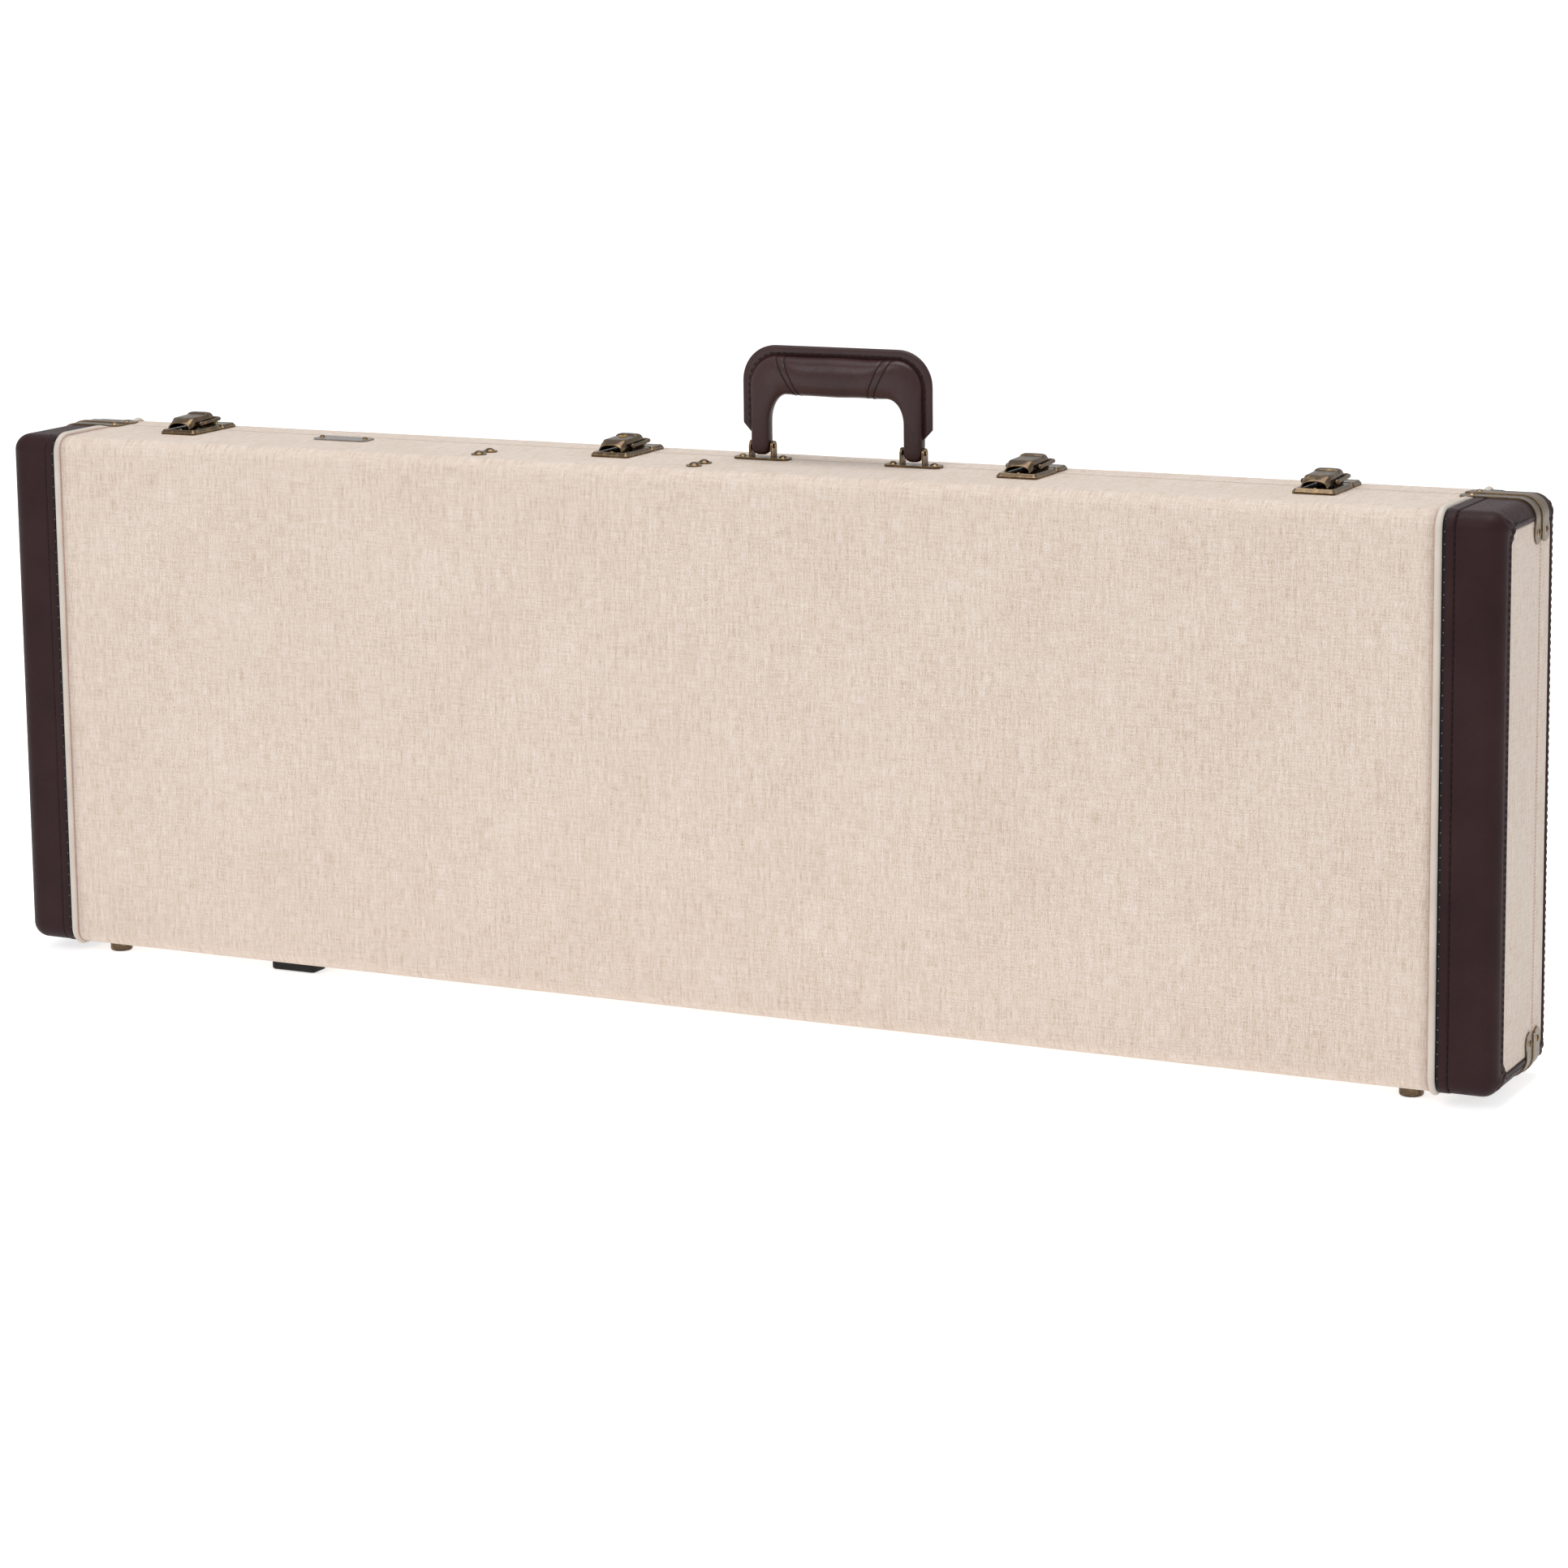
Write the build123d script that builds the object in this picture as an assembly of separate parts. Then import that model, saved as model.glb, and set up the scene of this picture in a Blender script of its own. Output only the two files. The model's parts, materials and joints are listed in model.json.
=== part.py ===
"""Rectangular hard-shell case for an electric guitar, standing on its spine.

Units are mm. +X runs along the case, -Y is out of the deep half's large face, +Z is up.
The four feet stand on Z = 0, and X = 0, Y = 0 is the middle of the case.
"""
from build123d import *
import os

os.makedirs("parts", exist_ok=True)

# Driving dimensions of the closed case, over its covering
LENGTH = 1040.0
HEIGHT = 348.0
DEPTH = 106.0
PART_Y = 21.0        # plane where the deep half and the lid meet
PART_GAP = 0.25      # each half stops this far short of the plane
FOOT_H = 8.0
CORNER_R = 11.0      # corners of the large faces
EDGE_R = 10.0        # edges round the large faces

# Walls and coverings
SKIN = 1.2           # linen or leatherette
PLY = 5.0
LINING = 4.0
END_TRIM = 37.0      # width of the leatherette on the large faces
PIPING_W = 5.0
PIPING_PROUD = 2.2
LIP_T = 2.0          # rim lip that keys the halves together
LIP_STAND = 4.0
LIP_BASE = 15.0

# Inset linen panel on each end: margins from the outside of the case
PANEL_SIDE = 12.0
PANEL_FRONT = 16.0
PANEL_BACK = 12.0
PANEL_CHAMFER = 7.0

# Hardware
LATCH_X = (-410.0, -82.0, 200.0, 391.0)
LOCKING_LATCH = 2
HANDLE_X = 66.0
HANDLE_Y = 14.5
LEG_SPAN = 52.5      # from the handle's middle to each leg
NAMEPLATE = (-291.0, 4.0)
STUDS = ((-168.0, -31.0), (-168.0, -17.0), (-12.5, -31.0), (-12.5, -17.0))
FOOT_X = 461.0
FOOT_BODY_Y = -28.0
FOOT_LID_Y = 35.0
HINGE_X = (-380.0, 0.0, 380.0)
HINGE_Z = 4.8

# Edge guards: brass straps either side of the parting plane, round each end corner
GUARD_W = 12.5
GUARD_T = 1.0
GUARD_RIB_W = 2.0
GUARD_RIB_H = 1.7
GUARD_TOP_RUN = 46.0
GUARD_END_RUN = 24.5
LOBE_R = 7.0

# Draw latches: Y values, and heights above the top face
BASE_FRONT = -15.0
BASE_W = 27.0
BASE_H = 3.2
CATCH_BACK = 38.5
CATCH_H = 3.0
LEVER_HALF = 8.5
LEVER_T = 1.0
LEVER_LIP = -12.5
LEVER_CAP = 9.5      # where the raised end of the lever starts
LEVER_HEEL = 17.5
LEVER_PIVOT = (15.0, 6.2)    # y, height above the top face
BAIL_PIVOT = (-1.5, 6.2)
BAIL_BAR = (22.8, 7.4)
WIRE_R = 1.2
BAIL_HALF = 10.5
HEEL_UNDERCUT = 8.6          # height of the heel above the top face, clear of the ears
EAR_R = 2.4                  # ears of the base that carry the lever
PIVOT_R = 1.0
PIVOT_PLAY = 0.05
LOCK_Y = 5.0
LOCK_R = 2.6

# Handle, above the top face
BRACKET_L = 38.0
BRACKET_W = 12.0
BRACKET_T = 1.5
PIVOT_H = 8.6
HANDLE_W = 131.0
HANDLE_TOP = 73.0
LEG_W = 13.0
CORE_W = 8.0
CORE_T = 3.0

# Hinges and rest pad
KNUCKLE_R = 2.5
HINGE_PIN_R = 1.2
HINGE_HALF = 30.0
LEAF_T = 1.2
LEAF_W = 16.0
LEAF_RIVET_Y = 10.5  # from the parting plane
REST_PAD = (-318.0, -28.0)

# Interior
FLOOR_PAD = 4.0
PAD_TOP_Y = 5.0
NECK_Z = FOOT_H + HEIGHT / 2
LOWER_BOUT = (340.0, 163.0)
UPPER_BOUT = (130.0, 140.0)
WAIST_HALF = 118.0
COMP_X = (-168.0, -12.5)
COMP_Z = 238.0
COMP_WALL = 5.0
LID_PAD = 7.0
COMP_LID_T = 4.0

FRONT = -DEPTH / 2
BACK = DEPTH / 2
BOTTOM = FOOT_H
TOP = FOOT_H + HEIGHT
MID_Z = FOOT_H + HEIGHT / 2
HALF_L = LENGTH / 2
BODY_RIM = PART_Y - PART_GAP
LID_RIM = PART_Y + PART_GAP
BIG = 2000.0


def save(name, *solids):
    """Writes one node from one solid or a group of separate solids."""
    shape = solids[0] if len(solids) == 1 else Compound(children=list(solids))
    export_step(shape, f"parts/{name}.step")


def span_box(x, y, z):
    """A box between two values on each axis."""
    size = (x[1] - x[0], y[1] - y[0], z[1] - z[0])
    centre = ((x[0] + x[1]) / 2, (y[0] + y[1]) / 2, (z[0] + z[1]) / 2)
    return Pos(*centre) * Box(*size)


def rod(p, q, radius):
    """A straight round bar from p to q."""
    start, end = Vector(*p), Vector(*q)
    plane = Plane(origin=start, z_dir=(end - start).normalized())
    return extrude(plane * Circle(radius), (end - start).length)


def dome(centre, normal, radius, height):
    """A rivet head: a flat-bottomed cap of a sphere on a thin flange."""
    ball_r = (radius**2 + height**2) / (2 * height)
    plane = Plane(origin=centre, z_dir=normal)
    ball = plane * Pos(0, 0, height - ball_r) * Sphere(ball_r)
    keep = plane * Pos(0, 0, height) * Cylinder(radius * 1.5, 2 * height)
    return ball & keep


def half_block(half, grow):
    """The rounded block of one half of the case, larger all round by grow."""
    face, rim = (FRONT - grow, BODY_RIM) if half == "body" else (LID_RIM, BACK + grow)
    block = span_box(
        (-HALF_L - grow, HALF_L + grow), (face, rim), (BOTTOM - grow, TOP + grow)
    )
    block = fillet(block.edges().filter_by(Axis.Y), CORNER_R + grow)
    faces = block.faces().sort_by(Axis.Y)
    big_face = faces[0] if half == "body" else faces[-1]
    return fillet(big_face.edges(), EDGE_R + grow)


def slice_x(shape, low, high):
    return shape & span_box((low, high), (-BIG, BIG), (-BIG, BIG))


def end_window(half, side):
    """The prism of the inset linen panel on one end, chamfered at the far corners."""
    if half == "body":
        near, far = BODY_RIM, FRONT + PANEL_FRONT
    else:
        near, far = LID_RIM, BACK - PANEL_BACK
    inward = 1 if near > far else -1
    low, high = BOTTOM + PANEL_SIDE, TOP - PANEL_SIDE
    cut = PANEL_CHAMFER
    outline = Polyline(
        (near, low), (far + inward * cut, low), (far, low + cut),
        (far, high - cut), (far + inward * cut, high), (near, high), close=True,
    )
    face = make_face(Plane.YZ * outline)
    prism = extrude(face, SKIN * 3, dir=(1, 0, 0))
    return Pos(HALF_L - SKIN if side > 0 else -HALF_L - 2 * SKIN, 0, 0) * prism


def coverings(half):
    """Linen jacket, leatherette end caps, inset end panels and piping of one half."""
    outer = half_block(half, 0)
    core = half_block(half, -SKIN)
    skin = outer - core
    linen_end = HALF_L - END_TRIM - PIPING_W
    save(f"{half}_linen", slice_x(skin, -linen_end, linen_end))
    bead = half_block(half, PIPING_PROUD) - core
    reach = GUARD_W / 2 + 1 + LOBE_R + 0.5
    guard_zone = span_box((-BIG, BIG), (PART_Y - reach, PART_Y + reach), (-BIG, BIG))
    panels, pipings = [], []
    for side, name in ((-1, "left"), (1, "right")):
        window = end_window(half, side)
        cap = slice_x(skin, *sorted((side * (HALF_L - END_TRIM), side * (HALF_L + 1))))
        save(f"{half}_end_cover_{name}", cap - window)
        panels.append(skin & window)
        piping = slice_x(bead, *sorted((side * linen_end, side * (linen_end + PIPING_W))))
        pipings.append(piping - guard_zone)
    save(f"{half}_end_panels", *panels)
    save(f"{half}_piping", *pipings)
    return core


def corner_band(thickness, y_low, y_high):
    """The band that wraps the outline of the ends by thickness, between two Y values."""
    def outline(grow):
        size = (LENGTH + 2 * grow, HEIGHT + 2 * grow)
        ring = Plane.XZ * RectangleRounded(*size, CORNER_R + grow)
        return Pos(0, y_high, MID_Z) * extrude(ring, y_high - y_low)
    return outline(thickness) - outline(0)


def edge_guards(half):
    """The four straps of one half, and their rivets."""
    near = BODY_RIM if half == "body" else LID_RIM
    away = -1 if half == "body" else 1
    y_strap = sorted((near, near + away * GUARD_W))
    y_rib = sorted((near, near + away * GUARD_RIB_W))
    y_lobe = near + away * (GUARD_W / 2 + 1)
    band = corner_band(GUARD_T, *y_strap) + corner_band(GUARD_RIB_H, *y_rib)
    straps, rivets = [], []
    for sx in (-1, 1):
        for sz in (-1, 1):
            tip_x = HALF_L - GUARD_TOP_RUN
            face_z = TOP if sz > 0 else BOTTOM
            tip_z = face_z - sz * GUARD_END_RUN
            keep = span_box(
                sorted((sx * tip_x, sx * (HALF_L + 5))), (-BIG, BIG),
                sorted((tip_z, face_z + sz * 5)),
            )
            lobe_x = sx * (tip_x + LOBE_R - 1)
            lobe_z = tip_z + sz * (LOBE_R - 2)
            flat = Pos(lobe_x, y_lobe, face_z + sz * GUARD_T / 2) * Cylinder(LOBE_R, GUARD_T)
            upright = Pos(sx * (HALF_L + GUARD_T / 2), y_lobe, lobe_z) * (
                Rot(0, 90, 0) * Cylinder(LOBE_R, GUARD_T)
            )
            beyond = span_box((-BIG, BIG), sorted((near, near - away * 20)), (-BIG, BIG))
            straps.append((band & keep) + (flat + upright - beyond))
            rivets.append(dome((lobe_x, y_lobe, face_z + sz * GUARD_T), (0, 0, sz), 2.4, 1.3))
            rivets.append(dome((sx * (HALF_L + GUARD_T), y_lobe, lobe_z), (sx, 0, 0), 2.4, 1.3))
    save(f"{half}_edge_guards", *straps)
    save(f"{half}_edge_guard_rivets", *rivets)


def trays():
    """The two plywood trays, the rim lip, the plush linings and both coverings."""
    body_core = coverings("body")
    lid_core = coverings("lid")
    wall = SKIN + PLY
    inner_x = (-HALF_L + wall, HALF_L - wall)
    inner_z = (BOTTOM + wall, TOP - wall)
    floor_y = FRONT + wall
    roof_y = BACK - wall
    save("body_tray", body_core - span_box(inner_x, (floor_y, BIG), inner_z))
    save("lid_tray", lid_core - span_box(inner_x, (-BIG, roof_y), inner_z))

    def inset(values, by):
        return (values[0] + by, values[1] - by)

    play = 0.6
    lip_root = span_box(inner_x, (BODY_RIM - LIP_BASE, BODY_RIM), inner_z)
    lip_tip = span_box(
        inset(inner_x, play), (BODY_RIM, PART_Y + LIP_STAND), inset(inner_z, play)
    )
    bore = span_box(inset(inner_x, play + LIP_T), (-BIG, BIG), inset(inner_z, play + LIP_T))
    save("rim_lip", lip_root + lip_tip - bore)

    lining = span_box(inner_x, (floor_y, BODY_RIM - LIP_BASE), inner_z)
    hollow = span_box(inset(inner_x, LINING), (floor_y + FLOOR_PAD, BIG), inset(inner_z, LINING))
    save("body_lining", lining - hollow)
    pad = span_box(inset(inner_x, 5), (roof_y - LID_PAD, roof_y), inset(inner_z, 5))
    save("lid_lining", fillet(pad.edges().filter_by(Axis.Y), 8))
    return inset(inner_x, LINING), floor_y + FLOOR_PAD, inset(inner_z, LINING)


def interior(bay_x, bay_y, bay_z):
    """Foam blocks that leave a guitar-shaped bay, the neck cradle and the compartment."""
    def disc(circle):
        x, radius = circle
        return Pos(x, 0, NECK_Z) * Rot(90, 0, 0) * Cylinder(radius, BIG)

    waist = span_box((UPPER_BOUT[0], LOWER_BOUT[0]), (-BIG, BIG),
                     (NECK_Z - WAIST_HALF, NECK_Z + WAIST_HALF))
    bay = disc(LOWER_BOUT) + disc(UPPER_BOUT) + waist
    split_x = LOWER_BOUT[0]
    wall_end = COMP_X[1] + COMP_WALL / 2
    corners = []
    for name, z in (("top", (NECK_Z + 60, bay_z[1])), ("bottom", (bay_z[0], NECK_Z - 60))):
        corners.append(span_box((split_x + 25, bay_x[1]), (bay_y, PAD_TOP_Y), z) - bay)
        waist_pad = span_box((wall_end, split_x - 25), (bay_y, PAD_TOP_Y), z) - bay
        save(f"waist_pad_{name}", waist_pad)
    save("bout_pads", *corners)

    block = span_box((-300, wall_end), (bay_y, PAD_TOP_Y), (bay_z[0], NECK_Z - 52))
    save("neck_block", block - bay)
    cradle = span_box((-262, -202), (bay_y, -4), (NECK_Z - 51.5, NECK_Z + 51.5))
    saddle = Pos(0, -2, NECK_Z) * Rot(0, 90, 0) * Cylinder(29, BIG)
    save("neck_cradle", cradle - saddle)

    half = COMP_WALL / 2
    outer = span_box((COMP_X[0] - half, COMP_X[1] + half), (bay_y, PAD_TOP_Y),
                     (COMP_Z - half, bay_z[1]))
    inner = span_box((COMP_X[0] + half, COMP_X[1] - half), (-BIG, BIG), (COMP_Z + half, BIG))
    save("compartment_walls", outer - inner)
    axis_z = bay_z[1] - 4
    lid = span_box((COMP_X[0] - half, COMP_X[1] + half),
                   (PAD_TOP_Y + 0.5, PAD_TOP_Y + 0.5 + COMP_LID_T), (COMP_Z - half, axis_z))
    edge = rod((COMP_X[0] - half, PAD_TOP_Y + 0.5 + COMP_LID_T / 2, axis_z),
               (COMP_X[1] + half, PAD_TOP_Y + 0.5 + COMP_LID_T / 2, axis_z), COMP_LID_T / 2)
    save("compartment_lid", lid + edge)
    mid_x = (COMP_X[0] + COMP_X[1]) / 2
    lid_top = PAD_TOP_Y + 0.5 + COMP_LID_T
    tab = span_box((mid_x - 7, mid_x + 7), (lid_top, lid_top + 1.5), (COMP_Z - 12, COMP_Z + 16))
    save("compartment_pull_tab", fillet(tab.edges().filter_by(Axis.Y), 5))


def feet_and_pad():
    def foot(x, y):
        stem = Pos(x, y, FOOT_H / 2) * Cylinder(7.5, FOOT_H)
        return fillet(stem.edges().sort_by(Axis.Z)[0], 1.5)

    save("body_feet", *(foot(sx * FOOT_X, FOOT_BODY_Y) for sx in (-1, 1)))
    save("lid_feet", *(foot(sx * FOOT_X, FOOT_LID_Y) for sx in (-1, 1)))
    pad_x, pad_y = REST_PAD
    plate = Pos(pad_x, pad_y, BOTTOM - 0.6) * Box(38, 20, 1.2)
    save("rest_pad_plate", fillet(plate.edges().filter_by(Axis.Z), 3))
    rubber = Pos(pad_x, pad_y, (BOTTOM - 1.2 + 0.5) / 2) * Box(34, 17, BOTTOM - 1.7)
    rubber = fillet(rubber.edges().filter_by(Axis.Z), 3)
    save("rest_pad", chamfer(rubber.faces().sort_by(Axis.Z)[0].edges(), 1))


def hinges():
    """Three butt hinges on the spine, with knuckles below the covering."""
    play = 0.05
    bands = [(-30.0, -18.0), (-18.0, -6.0), (-6.0, 6.0), (6.0, 18.0), (18.0, 30.0)]
    body_leaves, lid_leaves, pins, rivets = [], [], [], []

    def leaf(x0, side, own, other):
        rim = PART_Y + side * 0.4
        plate = span_box((x0 - HINGE_HALF, x0 + HINGE_HALF), sorted((rim, rim + side * LEAF_W)),
                         (BOTTOM - LEAF_T, BOTTOM))
        for low, high in own:
            plate += rod((x0 + low + 0.1, PART_Y, HINGE_Z), (x0 + high - 0.1, PART_Y, HINGE_Z),
                         KNUCKLE_R)
            web = span_box((x0 + low + 0.1, x0 + high - 0.1),
                           sorted((PART_Y + side * 0.4, PART_Y + side * 2.2)),
                           (HINGE_Z + 1, BOTTOM - LEAF_T / 2))
            plate += web
        for low, high in other:
            plate -= rod((x0 + low - 0.1, PART_Y, HINGE_Z), (x0 + high + 0.1, PART_Y, HINGE_Z),
                         KNUCKLE_R + 0.3)
        plate -= rod((x0 - HINGE_HALF - 1, PART_Y, HINGE_Z), (x0 + HINGE_HALF + 1, PART_Y, HINGE_Z),
                     HINGE_PIN_R + play)
        return plate

    for x0 in HINGE_X:
        own, other = bands[0::2], bands[1::2]
        body_leaves.append(leaf(x0, -1, own, other))
        lid_leaves.append(leaf(x0, 1, other, own))
        pin = rod((x0 - HINGE_HALF, PART_Y, HINGE_Z), (x0 + HINGE_HALF, PART_Y, HINGE_Z), HINGE_PIN_R)
        pins.append(pin)
        for dx in (-20, 0, 20):
            for side, group in ((-1, "body"), (1, "lid")):
                y = PART_Y + side * LEAF_RIVET_Y
                rivets.append((group, dome((x0 + dx, y, BOTTOM - LEAF_T), (0, 0, -1), 2.2, 1.1)))
    save("hinge_leaves_body", *body_leaves)
    save("hinge_leaves_lid", *lid_leaves)
    save("hinge_pins", *pins)
    save("hinge_rivets_body", *(r for g, r in rivets if g == "body"))
    save("hinge_rivets_lid", *(r for g, r in rivets if g == "lid"))


def pressed_pan(x, y_low, y_high, width, height, bevel):
    """A shallow pressed pan with bevelled walls and rounded corners."""
    pan = span_box((x - width / 2, x + width / 2), (y_low, y_high), (TOP, TOP + height))
    pan = fillet(pan.edges().filter_by(Axis.Z), 2.5)
    return chamfer(pan.faces().sort_by(Axis.Z)[-1].edges(), bevel)


def latch_lever(x, locking):
    """The lever: an open channel with a sloped lip, a flat and a raised heel."""
    pivot_y, pivot_h = LEVER_PIVOT
    floor = BASE_H + 0.3
    side = Polyline(
        (LEVER_LIP, floor), (LEVER_LIP, 8.0), (LEVER_LIP + 5.0, 10.4), (LEVER_CAP, 11.2),
        (LEVER_CAP + 1.5, 12.5), (LEVER_HEEL - 0.4, 12.5), (LEVER_HEEL, 9.0), (pivot_y + 1.0, floor),
        close=True,
    )

    def channel(half_width):
        plane = Plane(origin=(x - half_width, 0, TOP), x_dir=(0, 1, 0), z_dir=(1, 0, 0))
        return extrude(plane * make_face(side), 2 * half_width)

    lever = channel(LEVER_HALF)
    crown = lever.edges().filter_by(lambda e: e.center().Z > TOP + 7.9)
    crown = [e for e in crown if abs(abs(e.center().X - x) - LEVER_HALF) < 0.01]
    lever = fillet(crown, 1.2)
    inner = span_box((x - LEVER_HALF + LEVER_T, x + LEVER_HALF - LEVER_T),
                     (-20, 20), (TOP, TOP + 7.0))
    nose = span_box((x - LEVER_HALF + LEVER_T, x + LEVER_HALF - LEVER_T),
                    (LEVER_LIP + 5.8, LEVER_HEEL - 1.0), (TOP, TOP + 9.4))
    lever = lever - inner - nose
    round_end = Pos(x, pivot_y, TOP + pivot_h) * Rot(0, 90, 0) * Cylinder(2.6, 2 * LEVER_HALF)
    cheeks = round_end - span_box(
        (x - LEVER_HALF + LEVER_T, x + LEVER_HALF - LEVER_T), (-20, 40), (TOP, TOP + 20)
    )
    lever -= span_box((x - 20, x + 20), (pivot_y, 20), (TOP, TOP + HEEL_UNDERCUT))
    lever += cheeks
    lever -= rod((x - 20, pivot_y, TOP + pivot_h), (x + 20, pivot_y, TOP + pivot_h),
                 PIVOT_R + PIVOT_PLAY)
    lever -= rod((x - 20, BAIL_PIVOT[0], TOP + BAIL_PIVOT[1]),
                 (x + 20, BAIL_PIVOT[0], TOP + BAIL_PIVOT[1]), 0.85)
    if locking:
        lever -= rod((x, LOCK_Y, TOP + 4), (x, LOCK_Y, TOP + 20), LOCK_R + 0.05)
    return lever


def lock_plug(x):
    plug = rod((x, LOCK_Y, TOP + 8.0), (x, LOCK_Y, TOP + 11.7), LOCK_R)
    return plug - span_box((x - 0.5, x + 0.5), (LOCK_Y - 1.7, LOCK_Y + 1.7),
                           (TOP + 10.2, TOP + 13))


def latch_bail(x):
    """The wire loop from one side of the lever round the catch to the other side."""
    y0, h0 = BAIL_PIVOT
    y1, h1 = BAIL_BAR
    start = (x - BAIL_HALF, y0, TOP + h0)
    path = FilletPolyline(
        start, (x - BAIL_HALF, y1, TOP + h1), (x + BAIL_HALF, y1, TOP + h1),
        (x + BAIL_HALF, y0, TOP + h0), radius=3.0,
    )
    section = Plane(origin=start, z_dir=path % 0) * Circle(WIRE_R)
    wire = sweep(section, path=path)
    for side in (-1, 1):
        ball_x = x + side * BAIL_HALF
        wire += Pos(ball_x, y0, TOP + h0) * Sphere(1.75)
        wire += rod((ball_x, y0, TOP + h0), (x + side * (LEVER_HALF - 1.6), y0, TOP + h0), 0.8)
    return wire


def latches():
    bases, pins, catches, base_rivets, catch_rivets = [], [], [], [], []
    for number, x in enumerate(LATCH_X, start=1):
        base = pressed_pan(x, BASE_FRONT, BODY_RIM - 0.1, BASE_W, BASE_H, 1.8)
        pivot = (LEVER_PIVOT[0], TOP + LEVER_PIVOT[1])
        for side in (-1, 1):
            ear_x = sorted((x + side * 5.6, x + side * 7.0))
            base += span_box(ear_x, (pivot[0] - EAR_R, pivot[0] + EAR_R), (TOP + 1, pivot[1]))
            base += rod((ear_x[0], *pivot), (ear_x[1], *pivot), EAR_R)
        base -= rod((x - 10, *pivot), (x + 10, *pivot), PIVOT_R)
        bases.append(base)
        pins.append(rod((x - LEVER_HALF + 0.1, *pivot), (x + LEVER_HALF - 0.1, *pivot), PIVOT_R))
        save(f"latch_lever_{number}", latch_lever(x, number == LOCKING_LATCH))
        save(f"latch_bail_{number}", latch_bail(x))

        catch = pressed_pan(x, LID_RIM + 0.1, CATCH_BACK, BASE_W - 1, CATCH_H, 1.7)
        hook = span_box((x - 6, x + 6), (LID_RIM + 0.6, LID_RIM + 2.4), (TOP + 1, TOP + 5.7))
        catches.append(catch + fillet(hook.edges().sort_by(Axis.Z)[-4:], 0.6))
        for y in (-9.5, 6.0):
            base_rivets.append(dome((x, y, TOP + BASE_H), (0, 0, 1), 2.1, 1.2))
        catch_rivets.append(dome((x, 31.5, TOP + CATCH_H), (0, 0, 1), 2.4, 1.4))
    save("latch_bases", *bases)
    save("latch_pivot_pins", *pins)
    save("latch_catches", *catches)
    save("latch_base_rivets", *base_rivets)
    save("latch_catch_rivets", *catch_rivets)
    save("lock_plug", lock_plug(LATCH_X[LOCKING_LATCH - 1]))


def handle():
    pivot_z = TOP + PIVOT_H
    plates, pins, rivets = [], [], []
    for side, name in ((-1, "left"), (1, "right")):
        x = HANDLE_X + side * LEG_SPAN
        plate = span_box((x - BRACKET_L / 2, x + BRACKET_L / 2),
                         (HANDLE_Y - BRACKET_W / 2, HANDLE_Y + BRACKET_W / 2),
                         (TOP, TOP + BRACKET_T))
        plate = fillet(plate.edges().filter_by(Axis.Z), 4)
        for ear in (-1, 1):
            ear_x = sorted((x + ear * 7.0, x + ear * 8.3))
            tab = span_box(ear_x, (HANDLE_Y - 3.5, HANDLE_Y + 3.5), (TOP + 1, pivot_z))
            plate += tab + rod((ear_x[0], HANDLE_Y, pivot_z), (ear_x[1], HANDLE_Y, pivot_z), 3.5)
        plate -= rod((x - 20, HANDLE_Y, pivot_z), (x + 20, HANDLE_Y, pivot_z), 1.5)
        save(f"handle_bracket_{name}", plate)
        pins.append(rod((x - 9.2, HANDLE_Y, pivot_z), (x + 9.2, HANDLE_Y, pivot_z), 1.5))
        for end in (-1, 1):
            rivets.append(dome((x + end * 14.2, HANDLE_Y, TOP + BRACKET_T), (0, 0, 1), 2.8, 1.6))
    save("handle_pins", *pins)
    save("handle_rivets", *rivets)

    def bar(x, z):
        return span_box(x, (HANDLE_Y - CORE_T / 2, HANDLE_Y + CORE_T / 2), z)

    core_top = TOP + 58
    legs = [HANDLE_X - LEG_SPAN, HANDLE_X + LEG_SPAN]
    core = bar((legs[0] - CORE_W / 2, legs[1] + CORE_W / 2), (core_top - CORE_W, core_top))
    for x in legs:
        core += bar((x - CORE_W / 2, x + CORE_W / 2), (pivot_z, core_top))
        core += rod((x - CORE_W / 2, HANDLE_Y, pivot_z), (x + CORE_W / 2, HANDLE_Y, pivot_z), 3.4)
    bores = rod((legs[0] - 20, HANDLE_Y, pivot_z), (legs[1] + 20, HANDLE_Y, pivot_z), 1.55)
    save("handle_core", core - bores)

    def padded(x, z, depth, radius):
        block = span_box(x, (HANDLE_Y - depth / 2, HANDLE_Y + depth / 2), z)
        return fillet(block.edges().filter_by(Axis.Z if x[1] - x[0] < 30 else Axis.X), radius)

    left, right = HANDLE_X - HANDLE_W / 2, HANDLE_X + HANDLE_W / 2
    flange = 6.0
    grip = padded((left + flange, right - flange), (TOP + 42, TOP + HANDLE_TOP - flange), 22, 9)
    for x in legs:
        grip += padded((x - LEG_W / 2, x + LEG_W / 2), (pivot_z, TOP + 60), 12, 4)
        grip += rod((x - LEG_W / 2, HANDLE_Y, pivot_z), (x + LEG_W / 2, HANDLE_Y, pivot_z), 6.0)
    welt = span_box((left, right), (HANDLE_Y - 1.5, HANDLE_Y + 1.5),
                    (pivot_z + 6, TOP + HANDLE_TOP))
    welt = fillet(welt.edges().filter_by(Axis.Y).sort_by(Axis.Z)[-2:], 22)
    gap = span_box((legs[0] + LEG_W / 2, legs[1] - LEG_W / 2), (-BIG, BIG), (TOP, TOP + 42))
    grip += welt - gap
    save("handle_grip", grip - (core + bores) - bores)


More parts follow.
